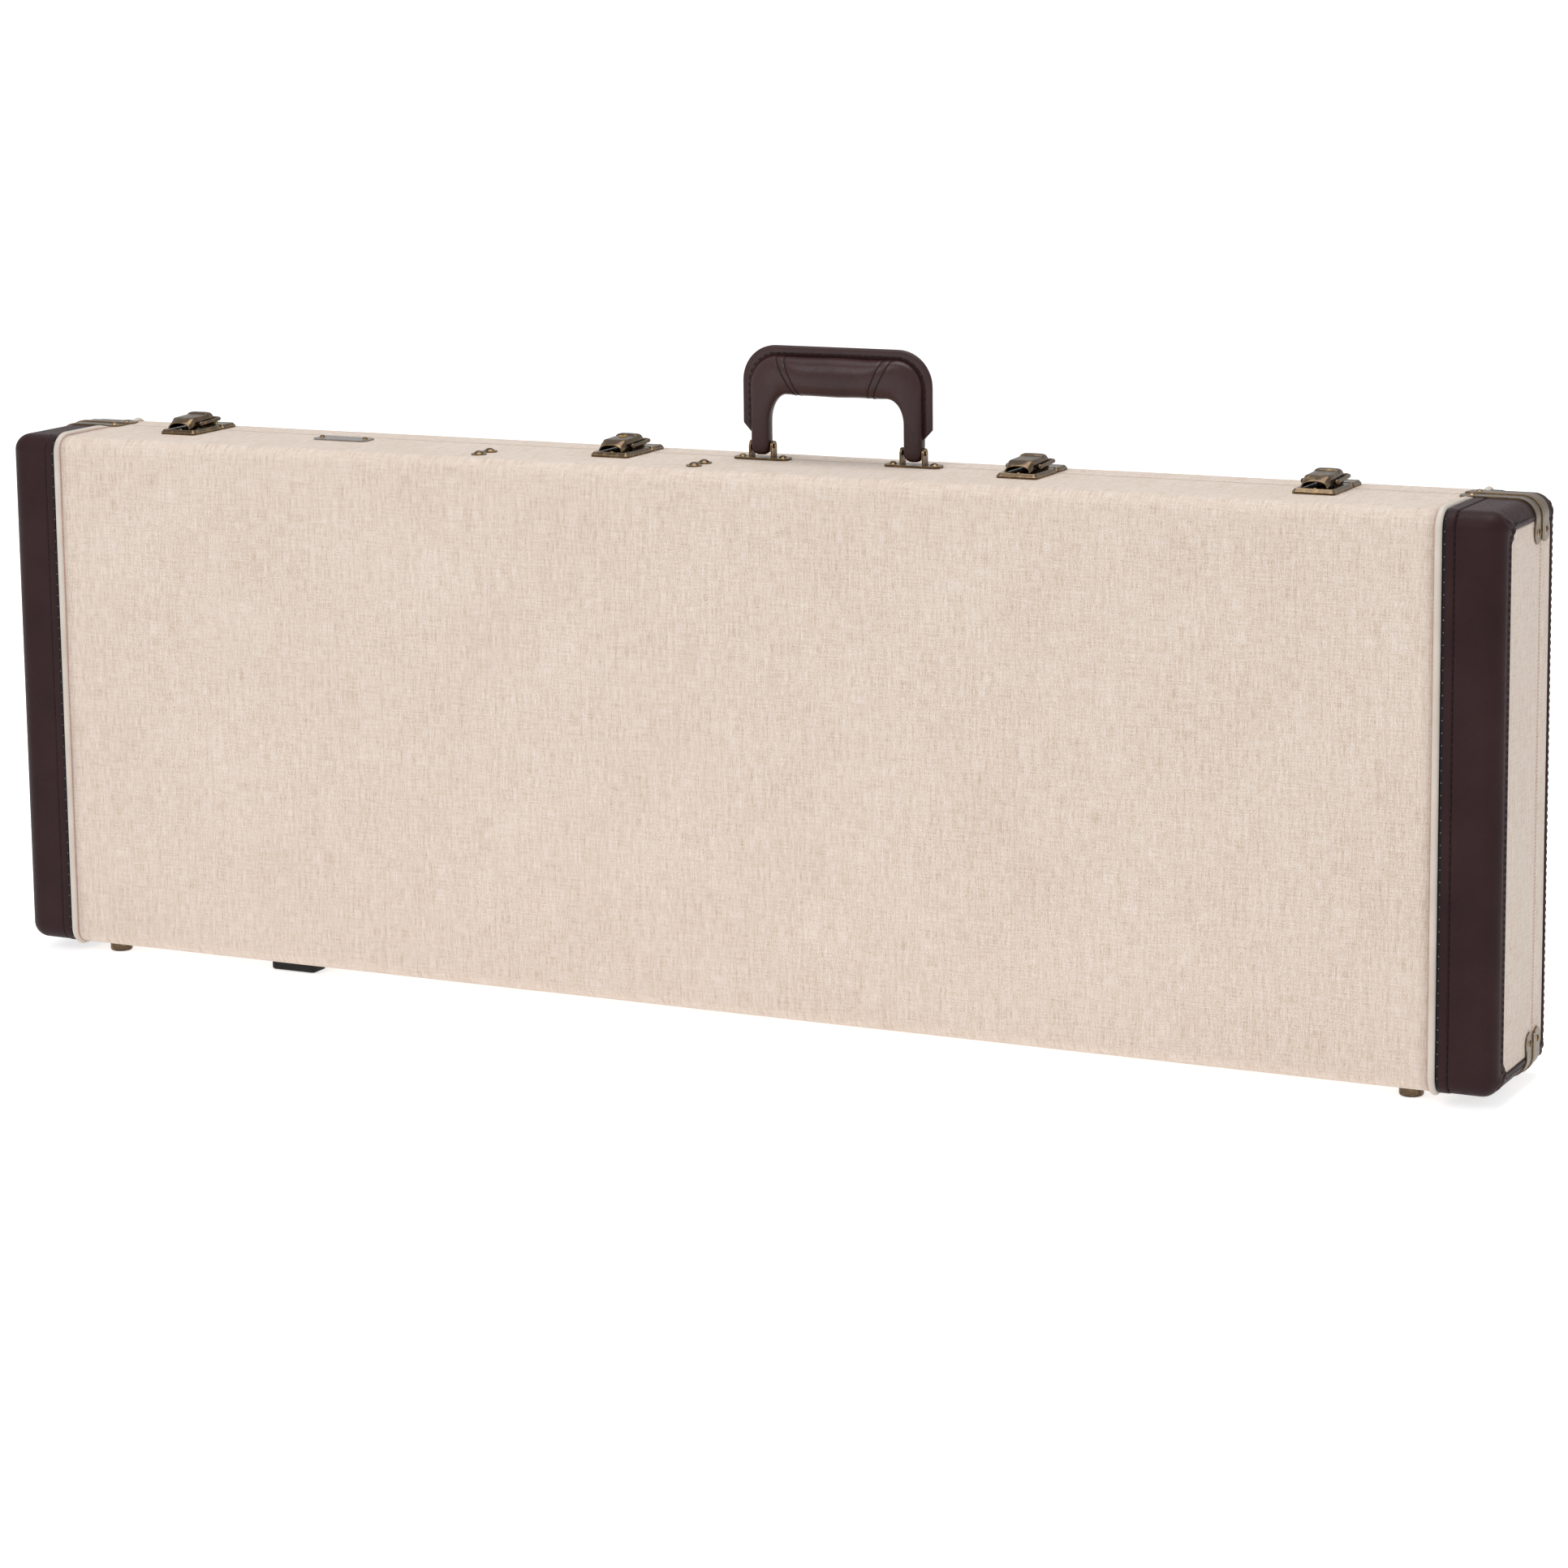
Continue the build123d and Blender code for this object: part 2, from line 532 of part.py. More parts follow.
def small_hardware():
    x, y = NAMEPLATE
    plate = span_box((x - 20, x + 20), (y - 8, y + 8), (TOP, TOP + 1.0))
    save("nameplate", chamfer(plate.edges().filter_by(Axis.Z), 2.5))
    save("nameplate_rivets",
         *(dome((x + end * 16.5, y, TOP + 1.0), (0, 0, 1), 2.0, 1.5) for end in (-1, 1)))
    studs = []
    for sx, sy in STUDS:
        flange = Pos(sx, sy, TOP + 0.4) * Cylinder(5.0, 0.8)
        studs.append(flange + dome((sx, sy, TOP + 0.8), (0, 0, 1), 3.5, 1.8))
    save("compartment_studs", *studs)


bay = trays()
interior(*bay)
for half_name in ("body", "lid"):
    edge_guards(half_name)
feet_and_pad()
hinges()
latches()
handle()
small_hardware()
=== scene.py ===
"""Looks of the guitar case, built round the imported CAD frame. Units are metres."""
import json
import math

import bmesh
import bpy
from mathutils import Matrix, Vector, noise


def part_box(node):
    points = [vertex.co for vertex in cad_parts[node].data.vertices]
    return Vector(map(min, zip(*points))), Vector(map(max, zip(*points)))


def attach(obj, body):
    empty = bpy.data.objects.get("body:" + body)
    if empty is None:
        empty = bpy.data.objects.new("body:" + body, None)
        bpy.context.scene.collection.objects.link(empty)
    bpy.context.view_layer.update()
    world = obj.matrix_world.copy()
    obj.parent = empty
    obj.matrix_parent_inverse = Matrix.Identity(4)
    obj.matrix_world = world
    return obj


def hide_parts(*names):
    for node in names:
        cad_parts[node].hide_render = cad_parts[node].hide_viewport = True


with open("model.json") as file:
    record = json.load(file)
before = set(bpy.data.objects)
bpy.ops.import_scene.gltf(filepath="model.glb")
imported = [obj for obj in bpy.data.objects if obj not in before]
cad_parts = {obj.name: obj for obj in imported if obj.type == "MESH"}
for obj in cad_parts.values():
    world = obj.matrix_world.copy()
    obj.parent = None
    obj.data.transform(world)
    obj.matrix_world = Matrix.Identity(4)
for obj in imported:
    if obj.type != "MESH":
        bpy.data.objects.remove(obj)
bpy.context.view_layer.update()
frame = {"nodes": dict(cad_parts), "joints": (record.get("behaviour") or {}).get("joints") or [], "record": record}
nodes = frame["nodes"]
MM = 0.001

# Sizes taken from the frame
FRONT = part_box("body_linen")[0].y
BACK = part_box("lid_linen")[1].y
BOTTOM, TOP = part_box("body_linen")[0].z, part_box("body_linen")[1].z
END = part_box("body_end_cover_right")[1].x
COVER_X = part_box("body_end_cover_right")[0].x
LINEN_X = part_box("body_linen")[1].x
RIM = {"body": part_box("body_linen")[1].y, "lid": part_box("lid_linen")[0].y}
FACE = {"body": FRONT, "lid": BACK}
BODY = {"body": "case_body", "lid": "lid"}
WINDOW = {half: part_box(f"{half}_end_panels") for half in RIM}
MID_Z = (BOTTOM + TOP) / 2

# Coverings
CORNER_R = 11 * MM
LINEN_R = 10 * MM
SKIN = 1.2 * MM
FOLD_X = END - 29.5 * MM       # crease that runs round the leatherette
HEM_RISE = 0.35 * MM
WINDOW_CHAMFER = 7 * MM
PIPING_SEAM = 0.7 * MM         # the cloth turns under the piping over this width
HEM_W = 5 * MM
PIPING_PROUD = 2.2 * MM
PIPING_SUNK = 0.9 * MM
FINE_END = 30 * MM             # run of fine mesh beside the top and bottom edges of an end
GUARD_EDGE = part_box("body_edge_guards")[0].y
PIPING_END = RIM["body"] - GUARD_EDGE + 0.5 * MM  # where the piping stops short of the rim


# ---------------------------------------------------------------- materials

def srgb(red, green, blue):
    """A linear colour from 0-255 display values."""
    def linear(value):
        value /= 255
        return value / 12.92 if value <= 0.04045 else ((value + 0.055) / 1.055) ** 2.4
    return (linear(red), linear(green), linear(blue), 1.0)


class Shader:
    """One procedural material, built up node by node."""

    def __init__(self, name, **fixed):
        self.material = bpy.data.materials.new(name)
        self.material.use_nodes = True
        self.tree = self.material.node_tree
        self.surface = self.tree.nodes["Principled BSDF"]
        for socket, value in fixed.items():
            self.surface.inputs[socket.replace("_", " ")].default_value = value

    def node(self, kind, inputs=(), output=0, **settings):
        made = self.tree.nodes.new("ShaderNode" + kind)
        for key, value in settings.items():
            setattr(made, key, value)
        pairs = inputs.items() if isinstance(inputs, dict) else enumerate(inputs)
        for key, value in pairs:
            if isinstance(value, bpy.types.NodeSocket):
                self.tree.links.new(value, made.inputs[key])
            else:
                made.inputs[key].default_value = value
        return made.outputs[output]

    def math(self, operation, a, b=0.0, clamp=False):
        return self.node("Math", (a, b), operation=operation, use_clamp=clamp)

    def coordinates(self, kind="Object"):
        return self.node("TexCoord", output=kind)

    def stretched(self, vector, scale):
        return self.node("Mapping", {"Vector": vector, "Scale": scale})

    def noise(self, vector, scale, detail=3.0, roughness=0.5):
        return self.node("TexNoise", {"Vector": vector, "Scale": scale, "Detail": detail,
                                      "Roughness": roughness})

    def cells(self, vector, scale):
        return self.node("TexVoronoi", {"Vector": vector, "Scale": scale})

    def ramp(self, factor, *stops):
        made = self.tree.nodes.new("ShaderNodeValToRGB")
        elements = made.color_ramp.elements
        while len(elements) < len(stops):
            elements.new(0.5)
        for element, (position, colour) in zip(elements, stops):
            element.position = position
            element.color = colour
        self.tree.links.new(factor, made.inputs[0])
        return made.outputs[0]

    def grey(self, factor, low, high, start=0.0, stop=1.0):
        return self.node("MapRange", (factor, start, stop, low, high))

    def mix(self, factor, a, b):
        made = self.tree.nodes.new("ShaderNodeMix")
        made.data_type = "RGBA"
        for socket, value in ((0, factor), (6, a), (7, b)):
            if isinstance(value, bpy.types.NodeSocket):
                self.tree.links.new(value, made.inputs[socket])
            else:
                made.inputs[socket].default_value = value
        return made.outputs[2]

    def bump(self, height, distance, strength):
        normal = self.node("Bump", {"Height": height, "Distance": distance,
                                    "Strength": strength})
        self.tree.links.new(normal, self.surface.inputs["Normal"])

    def set(self, socket, value):
        self.tree.links.new(value, self.surface.inputs[socket])


def linen():
    """Plain-woven slubby cloth, laid out by the piece's own UV map in metres."""
    s = Shader("linen", Roughness=0.85, Sheen_Weight=0.22, Specular_IOR_Level=0.2)
    uv = s.coordinates("UV")
    along, across = s.node("SeparateXYZ", (uv,)), s.node("SeparateXYZ", (uv,), output=1)
    pitch = 2 * math.pi / (1.3 * MM)
    wander = s.math("MULTIPLY", s.noise(uv, 160.0, 2.0), 6.0)
    wave_u = s.math("SINE", s.math("ADD", s.math("MULTIPLY", along, pitch), wander))
    wave_v = s.math("SINE", s.math("SUBTRACT", s.math("MULTIPLY", across, pitch), wander))
    weave = s.math("MULTIPLY", wave_u, wave_v)
    warp = s.noise(s.stretched(uv, (1250, 110, 1)), 1.0, 3.0, 0.6)
    weft = s.noise(s.stretched(uv, (60, 1100, 1)), 1.0, 3.0, 0.6)
    slub = s.noise(s.stretched(uv, (420, 24, 1)), 1.0, 2.0)
    speck = s.noise(uv, 900.0, 2.0, 0.5)
    cloud = s.noise(uv, 12.0, 2.0)
    threads = s.math("ADD", s.math("MULTIPLY", warp, 0.36), s.math("MULTIPLY", weft, 0.22))
    threads = s.math("ADD", threads, s.math("MULTIPLY", speck, 0.22))
    threads = s.math("ADD", threads, s.math("MULTIPLY", slub, 0.14))
    threads = s.math("ADD", threads, s.math("MULTIPLY", cloud, 0.06))
    tone = s.math("ADD", threads, s.math("MULTIPLY", weave, 0.035))
    s.set("Base Color", s.ramp(tone, (0.38, srgb(196, 172, 154)), (0.47, srgb(219, 202, 186)),
                               (0.55, srgb(231, 216, 205)), (0.66, srgb(240, 229, 221))))
    s.bump(s.math("ADD", s.math("MULTIPLY", weave, 0.5), threads), 0.25 * MM, 0.5)
    return s.material


def grain(name, dark, light, roughness, scale=1100.0, edge_and_shade_band=False, gloss=0.13):
    """Grained leather or leatherette with painted shade darkening its creases, optionally with a near-black band
    beside the piping that is partly the binding's dark edge and partly painted shade.
    """
    s = Shader(name, Specular_IOR_Level=gloss)
    place = s.coordinates()
    pebbles = s.cells(place, scale)
    creases = s.noise(place, scale * 0.35, 5.0, 0.6)
    tone = s.noise(place, 26.0, 4.0)
    colour = s.mix(s.grey(tone, 0.0, 1.0, 0.3, 0.7), dark, light)
    # Near-black strip beside the piping: partly the dark edge of the black binding, partly painted shade.
    if edge_and_shade_band:
        x = s.math("ABSOLUTE", s.node("SeparateXYZ", (place,)))
        border = s.math("LESS_THAN", x, COVER_X + 2.4 * MM)
        colour = s.mix(border, colour, srgb(26, 22, 27))
    # Painted shade: concave spots (low pointiness) are darkened towards near-black, standing in for the shade in
    # creases and folds.
    crease_shade_mask = s.node("NewGeometry", output="Pointiness")
    colour = s.mix(s.grey(crease_shade_mask, 1.0, 0.0, 0.38, 0.47), colour, srgb(18, 12, 13))
    s.set("Base Color", colour)
    s.set("Roughness", s.grey(creases, roughness - 0.07, roughness + 0.1, 0.3, 0.7))
    s.bump(s.math("ADD", pebbles, creases), 0.12 * MM, 0.35)
    return s.material


def metal(name, dark, worn, roughness, wear_radius=0.5, recess_shade_depth=0.9):
    """Plated metal: mottled in the open, rubbed bright along its edges, and darkened in its recesses with painted
    shade.
    """
    s = Shader(name, Metallic=1.0)
    place = s.coordinates()
    soft = s.node("Bevel", (wear_radius * MM,), samples=4)
    sharp = s.node("NewGeometry", output="Normal")
    edge = s.node("VectorMath", (soft, sharp), operation="DOT_PRODUCT", output=1)
    rub = s.noise(place, 420.0, 3.0)
    mask = s.grey(edge, 1.0, 0.0, 0.9, 0.995)
    mask = s.math("MULTIPLY", mask, s.grey(rub, 0.45, 1.0, 0.35, 0.6), clamp=True)
    mottle = s.noise(place, 190.0, 4.0, 0.6)
    patches = s.math("MULTIPLY", s.grey(mottle, 0.0, 1.0, 0.52, 0.7), 0.28, clamp=True)
    colour = s.mix(s.math("MAXIMUM", mask, patches), dark, worn)
    # Painted shade: ambient occlusion darkens recesses towards near-black brown, standing in for the shade and
    # dark reflections there.
    open_sky = s.node("AmbientOcclusion", {"Distance": 2.5 * MM}, output=1, samples=6)
    recess_shade = s.grey(open_sky, recess_shade_depth, 0.0, 0.1, 0.75)
    s.set("Base Color", s.mix(recess_shade, colour, srgb(20, 14, 10)))
    s.set("Roughness", s.grey(mottle, roughness - 0.08, roughness + 0.12, 0.3, 0.7))
    s.bump(s.noise(place, 2600.0, 2.0), 0.03 * MM, 0.3)
    return s.material


def plush():
    """Short brushed pile."""
    s = Shader("plush", Roughness=0.95, Sheen_Weight=0.6, Sheen_Roughness=0.4,
               Specular_IOR_Level=0.1)
    place = s.coordinates()
    pile = s.noise(place, 1500.0, 4.0, 0.7)
    brushed = s.noise(s.stretched(place, (40, 90, 40)), 1.0, 3.0)
    shade = s.math("ADD", s.math("MULTIPLY", pile, 0.45), s.math("MULTIPLY", brushed, 0.55))
    s.set("Base Color", s.ramp(shade, (0.34, srgb(74, 50, 38)), (0.52, srgb(112, 79, 60)),
                               (0.68, srgb(146, 108, 84))))
    s.bump(pile, 0.7 * MM, 0.7)
    return s.material


def plywood():
    s = Shader("plywood", Roughness=0.6)
    place = s.coordinates()
    rings = s.noise(s.stretched(place, (9, 60, 320)), 1.0, 5.0, 0.6)
    s.set("Base Color", s.ramp(rings, (0.35, srgb(168, 128, 84)), (0.5, srgb(201, 164, 118)),
                               (0.66, srgb(219, 187, 144))))
    s.bump(rings, 0.15 * MM, 0.4)
    return s.material


def moulded(name, low, high, roughness, scale, depth):
    """Rubber or extruded plastic with a fine surface."""
    s = Shader(name, Specular_IOR_Level=0.45)
    place = s.coordinates()
    skin = s.noise(place, scale, 3.0)
    s.set("Base Color", s.mix(s.grey(s.noise(place, 40.0), 0.0, 1.0, 0.3, 0.7), low, high))
    s.set("Roughness", s.grey(skin, roughness - 0.06, roughness + 0.08, 0.3, 0.7))
    s.bump(skin, depth * MM, 0.4)
    return s.material


def thread(name, low, high):
    """Twisted sewing thread."""
    s = Shader(name, Roughness=0.75, Specular_IOR_Level=0.2)
    place = s.coordinates()
    twist = s.noise(place, 2400.0, 2.0)
    s.set("Base Color", s.mix(s.grey(twist, 0.0, 1.0, 0.35, 0.65), low, high))
    s.bump(twist, 0.1 * MM, 0.5)
    return s.material


LINEN = linen()
LEATHERETTE = grain("leatherette", srgb(42, 22, 23), srgb(52, 31, 32), 0.44, edge_and_shade_band=True)
TAB = grain("tab_leatherette", srgb(42, 22, 23), srgb(52, 31, 32), 0.44)
HANDLE_LEATHER = grain("handle_leather", srgb(48, 27, 28), srgb(63, 40, 40), 0.32, 900.0,
                       gloss=0.3)
PIPING = moulded("piping", srgb(204, 192, 180), srgb(216, 206, 195), 0.42, 900.0, 0.05)
RUBBER = moulded("black_rubber", srgb(22, 22, 23), srgb(32, 32, 33), 0.7, 1400.0, 0.12)
ANTIQUE = metal("antique_brass", srgb(96, 81, 66), srgb(226, 192, 136), 0.27)
GUARD = metal("guard_plate", srgb(116, 106, 96), srgb(196, 160, 110), 0.34, 0.8)
BRIGHT = metal("bright_brass", srgb(206, 158, 84), srgb(240, 208, 140), 0.24, recess_shade_depth=0.5)
NICKEL = metal("nickel_plate", srgb(150, 144, 140), srgb(214, 210, 206), 0.33)
STEEL = metal("steel", srgb(118, 116, 114), srgb(180, 178, 176), 0.4)
PLUSH = plush()
PLYWOOD = plywood()
DARK_THREAD = thread("dark_thread", srgb(20, 15, 16), srgb(44, 34, 34))
# Pale stitch colour is a painted highlight, standing in for whitish glints on the dark border thread.
PAINTED_GLINT_THREAD = thread("painted_glint_thread", srgb(176, 160, 146), srgb(214, 200, 188))
PINK_THREAD = thread("pink_thread", srgb(196, 140, 128), srgb(216, 176, 162))

SLOT_MATERIAL = {
    "linen": LINEN, "leatherette": TAB, "piping": PIPING, "plywood": PLYWOOD,
    "plush": PLUSH, "antique_brass": ANTIQUE, "bright_brass": BRIGHT,
    "nickel_plate": NICKEL, "steel": STEEL, "handle_leather": HANDLE_LEATHER,
    "black_rubber": RUBBER,
}


# ---------------------------------------------------------------- mesh helpers

def piece(name, mesh, body, slot, *replaced, material=None):
    """Makes one visible piece that rides on a body and stands for CAD nodes."""
    made = bpy.data.objects.new(name, mesh)
    bpy.context.scene.collection.objects.link(made)
    mesh.materials.clear()
    mesh.materials.append(material or SLOT_MATERIAL[slot])
    mesh.shade_smooth()
    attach(made, body)
    if replaced:
        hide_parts(*replaced)
    return made


def mesh_of(name, bm):
    bmesh.ops.recalc_face_normals(bm, faces=bm.faces)
    mesh = bpy.data.meshes.new(name)
    bm.to_mesh(mesh)
    bm.free()
    return mesh


def applied(made):
    """Applies the modifiers of a piece to its mesh."""
    graph = bpy.context.evaluated_depsgraph_get()
    baked = bpy.data.meshes.new_from_object(made.evaluated_get(graph))
    made.modifiers.clear()
    made.data = baked


def steps(low, high, size):
    """Evenly spaced values from low to high, about size apart."""
    count = max(1, round(abs(high - low) / size))
    return [low + (high - low) * i / count for i in range(count + 1)]


def thin_out(values):
    """Sorted values without repeats."""
    kept = []
    for value in sorted(values):
        if not kept or value - kept[-1] > 0.1 * MM:
            kept.append(value)
    return kept


def lofted(name, rings, uvs=None):
    """A closed tube of quads through rings of points, with an optional UV for each point."""
    bm = bmesh.new()
    layer = bm.loops.layers.uv.new("weave") if uvs else None
    grid = [[bm.verts.new(point) for point in ring] for ring in rings]
    count = len(rings[0])
    for i in range(len(rings) - 1):
        for j in range(count):
            k = (j + 1) % count
            face = bm.faces.new((grid[i][j], grid[i + 1][j], grid[i + 1][k], grid[i][k]))
            if layer:
                last = j + 1
                corner = (uvs[i][j], uvs[i + 1][j], uvs[i + 1][last], uvs[i][last])
                for loop, uv in zip(face.loops, corner):
                    loop[layer].uv = uv
    bm.faces.new(grid[0])
    bm.faces.new(list(reversed(grid[-1])))
    return mesh_of(name, bm)


def add_stitch(bm, centre, along, normal, length, radius):
    """One sewn stitch: a short capsule that dips into the surface at its ends."""
    side = along.cross(normal).normalized()
    rings = []
    for t in (-1.0, -0.72, 0.0, 0.72, 1.0):
        size = radius * (1.0 if abs(t) < 0.9 else 0.35)
        lift = radius * (0.35 if abs(t) < 0.5 else 0.1 if abs(t) < 0.9 else -0.5)
        middle = centre + along * (t * length / 2) + normal * lift
        rings.append([bm.verts.new(middle + side * (size * math.cos(a)) +
                                   normal * (size * math.sin(a)))
                      for a in (math.tau * k / 6 for k in range(6))])
    for first, second in zip(rings, rings[1:]):
        for k in range(6):
            n = (k + 1) % 6
            bm.faces.new((first[k], first[n], second[n], second[k]))
    bm.faces.new(list(reversed(rings[0])))
    bm.faces.new(rings[-1])


def stitched(bm, path, pitch, length, radius):
    """Stitches at an even pitch along (point, normal) pairs."""
    travelled, due = 0.0, pitch / 2
    for (p, n), (q, m) in zip(path, path[1:]):
        span = (q - p).length
        while span > 1e-9 and travelled + span >= due:
            t = (due - travelled) / span
            normal = n.lerp(m, t).normalized()
            along = (q - p).normalized()
            along = (along - normal * along.dot(normal)).normalized()
            add_stitch(bm, p.lerp(q, t), along, normal, length, radius)
            due += pitch
        travelled += span


def half_path(half, x, radius, inset=0.0, stop=0.0):
    """(point, outward normal) round one half at x, from its top rim to its bottom rim."""
    out = -1 if half == "body" else 1
    face, rim = FACE[half] - out * inset, RIM[half] + out * stop
    top, bottom = TOP - inset, BOTTOM + inset
    turn = radius - inset
    path = [(Vector((x, y, top)), Vector((0, 0, 1)))
            for y in steps(rim, face - out * turn, 4 * MM)[:-1]]
    for centre_z, start, stop_angle in ((top - turn, 90, 0), (bottom + turn, 0, -90)):
        for angle in steps(start, stop_angle, 7.5):
            a = math.radians(angle)
            normal = Vector((0, out * math.cos(a), math.sin(a)))
            path.append((Vector((x, face - out * turn, centre_z)) + normal * turn, normal))
        if start == 90:
            path += [(Vector((x, face, z)), Vector((0, out, 0)))
                     for z in steps(top - turn, bottom + turn, 6 * MM)[1:-1]]
    path += [(Vector((x, y, bottom)), Vector((0, 0, -1)))
             for y in steps(face - out * turn, rim, 4 * MM)[1:]]
    return path


# ---------------------------------------------------------------- linen jackets

def linen_jacket(half):
    """The cloth over one half between the pipings, a U in section with a rolled rim."""
    outer = half_path(half, 0.0, LINEN_R)
    inner = half_path(half, 0.0, LINEN_R, inset=SKIN)
    loop = [p for p, _ in outer] + [p for p, _ in reversed(inner)]
    run, lengths = 0.0, [0.0]
    for a, b in zip(loop, loop[1:] + loop[:1]):
        run += (b - a).length
        lengths.append(run)
    rings, uvs = [], []
    outside = len(outer)
    reach = LINEN_X + PIPING_SEAM + 0.4 * MM
    for x in steps(-reach, reach, 8 * MM):
        ring = []
        for index, point in enumerate(loop):
            at = Vector((x, point.y, point.z))
            if index < outside:
                at -= outer[index][1] * (0.12 * MM * (1 + noise.noise(at * 18)))
            ring.append(at)
        rings.append(ring)
        uvs.append([(x, length) for length in lengths])
    mesh = lofted(f"{half}_linen_jacket", rings, uvs=uvs)
    jacket = piece(f"{half}_linen_jacket", mesh, BODY[half], "linen", f"{half}_linen")


# ---------------------------------------------------------------- leatherette ends

def rounded(point, half):
    """Moves a point of the sharp block onto the block with rounded corners."""
    out = -1 if half == "body" else 1
    core = Vector((max(-END + CORNER_R, min(END - CORNER_R, point.x)), point.y,
                   max(BOTTOM + CORNER_R, min(TOP - CORNER_R, point.z))))
    limit = FACE[half] - out * CORNER_R
    core.y = max(core.y, limit) if out < 0 else min(core.y, limit)
    away = point - core
    if away.length < 1e-9:
        return point.copy(), Vector((0, 0, 0))
    normal = away.normalized()
    flat = sum(1 for value in away if abs(value) > 1e-9) < 2
    return (point.copy() if flat else core + normal * CORNER_R), normal


def window_edges(half):
    """(point, outward normal) of the lines round the linen window, in Y and Z."""
    low, high = WINDOW[half]
    far, inward = (low.y, 1) if half == "body" else (high.y, -1)
    c = WINDOW_CHAMFER
    slant = math.sqrt(0.5)
    return [
        ((far, MID_Z), (-inward, 0.0)), ((0.0, low.z), (0.0, -1.0)),
        ((0.0, high.z), (0.0, 1.0)),
        ((far + inward * c, low.z), (-inward * slant, -slant)),
        ((far + inward * c, high.z), (-inward * slant, slant)),
    ]


def window_distance(y, z, edges):
    """How far a point is outside the window's outline. Negative is inside."""
    return max((y - p[0]) * n[0] + (z - p[1]) * n[1] for p, n in edges)


def relief(place, half, edges):
    """Height of hems, folds and creases over the leatherette at a point of the block."""
    x = abs(place.x)
    rise = 0.0
    if x < END - 1e-6:
        rise += HEM_RISE * (1 - smooth_step(FOLD_X - 0.6 * MM, FOLD_X + 0.2 * MM, x))
        rise -= 0.55 * MM * math.exp(-((x - FOLD_X) / (0.6 * MM)) ** 2)
        rise -= 0.7 * MM * (1 - smooth_step(COVER_X, COVER_X + 1.2 * MM, x))
    else:
        away = window_distance(place.y, place.z, edges)
        rise += HEM_RISE * (1 - smooth_step(HEM_W - 0.8 * MM, HEM_W + 0.8 * MM, away))
        rise -= 0.7 * MM * math.exp(-((away - HEM_W) / (0.8 * MM)) ** 2)
        rise -= 0.5 * MM * (1 - smooth_step(0.0, 0.9 * MM, away))
        rise += fold_relief(place, half, away)
    return rise


def smooth_step(low, high, value):
    t = max(0.0, min(1.0, (value - low) / (high - low)))
    return t * t * (3 - 2 * t)


def fold_relief(place, half, away):
    """The gathered mitre between the window's chamfer and the corner of the case."""
    far = WINDOW[half][0].y if half == "body" else WINDOW[half][1].y
    inward = 1 if half == "body" else -1
    corner_z = WINDOW[half][1].z if place.z > MID_Z else WINDOW[half][0].z
    upward = 1 if place.z > MID_Z else -1
    along_y = -inward * (place.y - far - inward * WINDOW_CHAMFER / 2)
    along_z = upward * (place.z - corner_z + upward * WINDOW_CHAMFER / 2)
    off = (along_y - along_z) / math.sqrt(2)
    reach = (along_y + along_z) / math.sqrt(2)
    if reach < -1 * MM or away < 0:
        return 0.0
    fade = smooth_step(-1 * MM, 2 * MM, reach) * (1 - smooth_step(11 * MM, 18 * MM, reach))
    crease = -1.2 * MM * math.exp(-(off / (0.8 * MM)) ** 2)
    puckers = 0.8 * MM * math.exp(-((abs(off) - 2.6 * MM) / (1.3 * MM)) ** 2)
    return fade * (crease + puckers)


def end_block(half, side):
    """The sharp-cornered grid of one end of one half, cut along the window's outline."""
    rim, face = RIM[half], FACE[half]
    xs = thin_out(steps(COVER_X, COVER_X + 2 * MM, 0.4 * MM) +
                  steps(FOLD_X - 1.6 * MM, FOLD_X + 1.6 * MM, 0.4 * MM) +
                  steps(COVER_X, END, 1.9 * MM))
    ys = thin_out(steps(rim, face, 1.8 * MM))
    zs = thin_out(steps(BOTTOM, BOTTOM + FINE_END, 1.5 * MM) +
                  steps(TOP - FINE_END, TOP, 1.5 * MM) +
                  steps(BOTTOM + FINE_END, TOP - FINE_END, 6 * MM))
    bm = bmesh.new()

    def sheet(us, vs, place):
        grid = [[bm.verts.new(place(u, v)) for v in vs] for u in us]
        for i in range(len(us) - 1):
            for j in range(len(vs) - 1):
                bm.faces.new((grid[i][j], grid[i + 1][j], grid[i + 1][j + 1], grid[i][j + 1]))

    sheet(ys, zs, lambda y, z: (side * END, y, z))
    bm.faces.ensure_lookup_table()
    for (y, z), (ny, nz) in window_edges(half):
        geometry = list(bm.verts) + list(bm.edges) + list(bm.faces)
        bmesh.ops.bisect_plane(bm, geom=geometry, plane_co=(0, y, z), plane_no=(0, ny, nz),
                               dist=0.02 * MM)
    sheet(xs, zs, lambda x, z: (side * x, face, z))
    for z in (BOTTOM, TOP):
        sheet(xs, ys, lambda x, y: (side * x, y, z))
    bmesh.ops.remove_doubles(bm, verts=bm.verts, dist=0.03 * MM)
    return bm


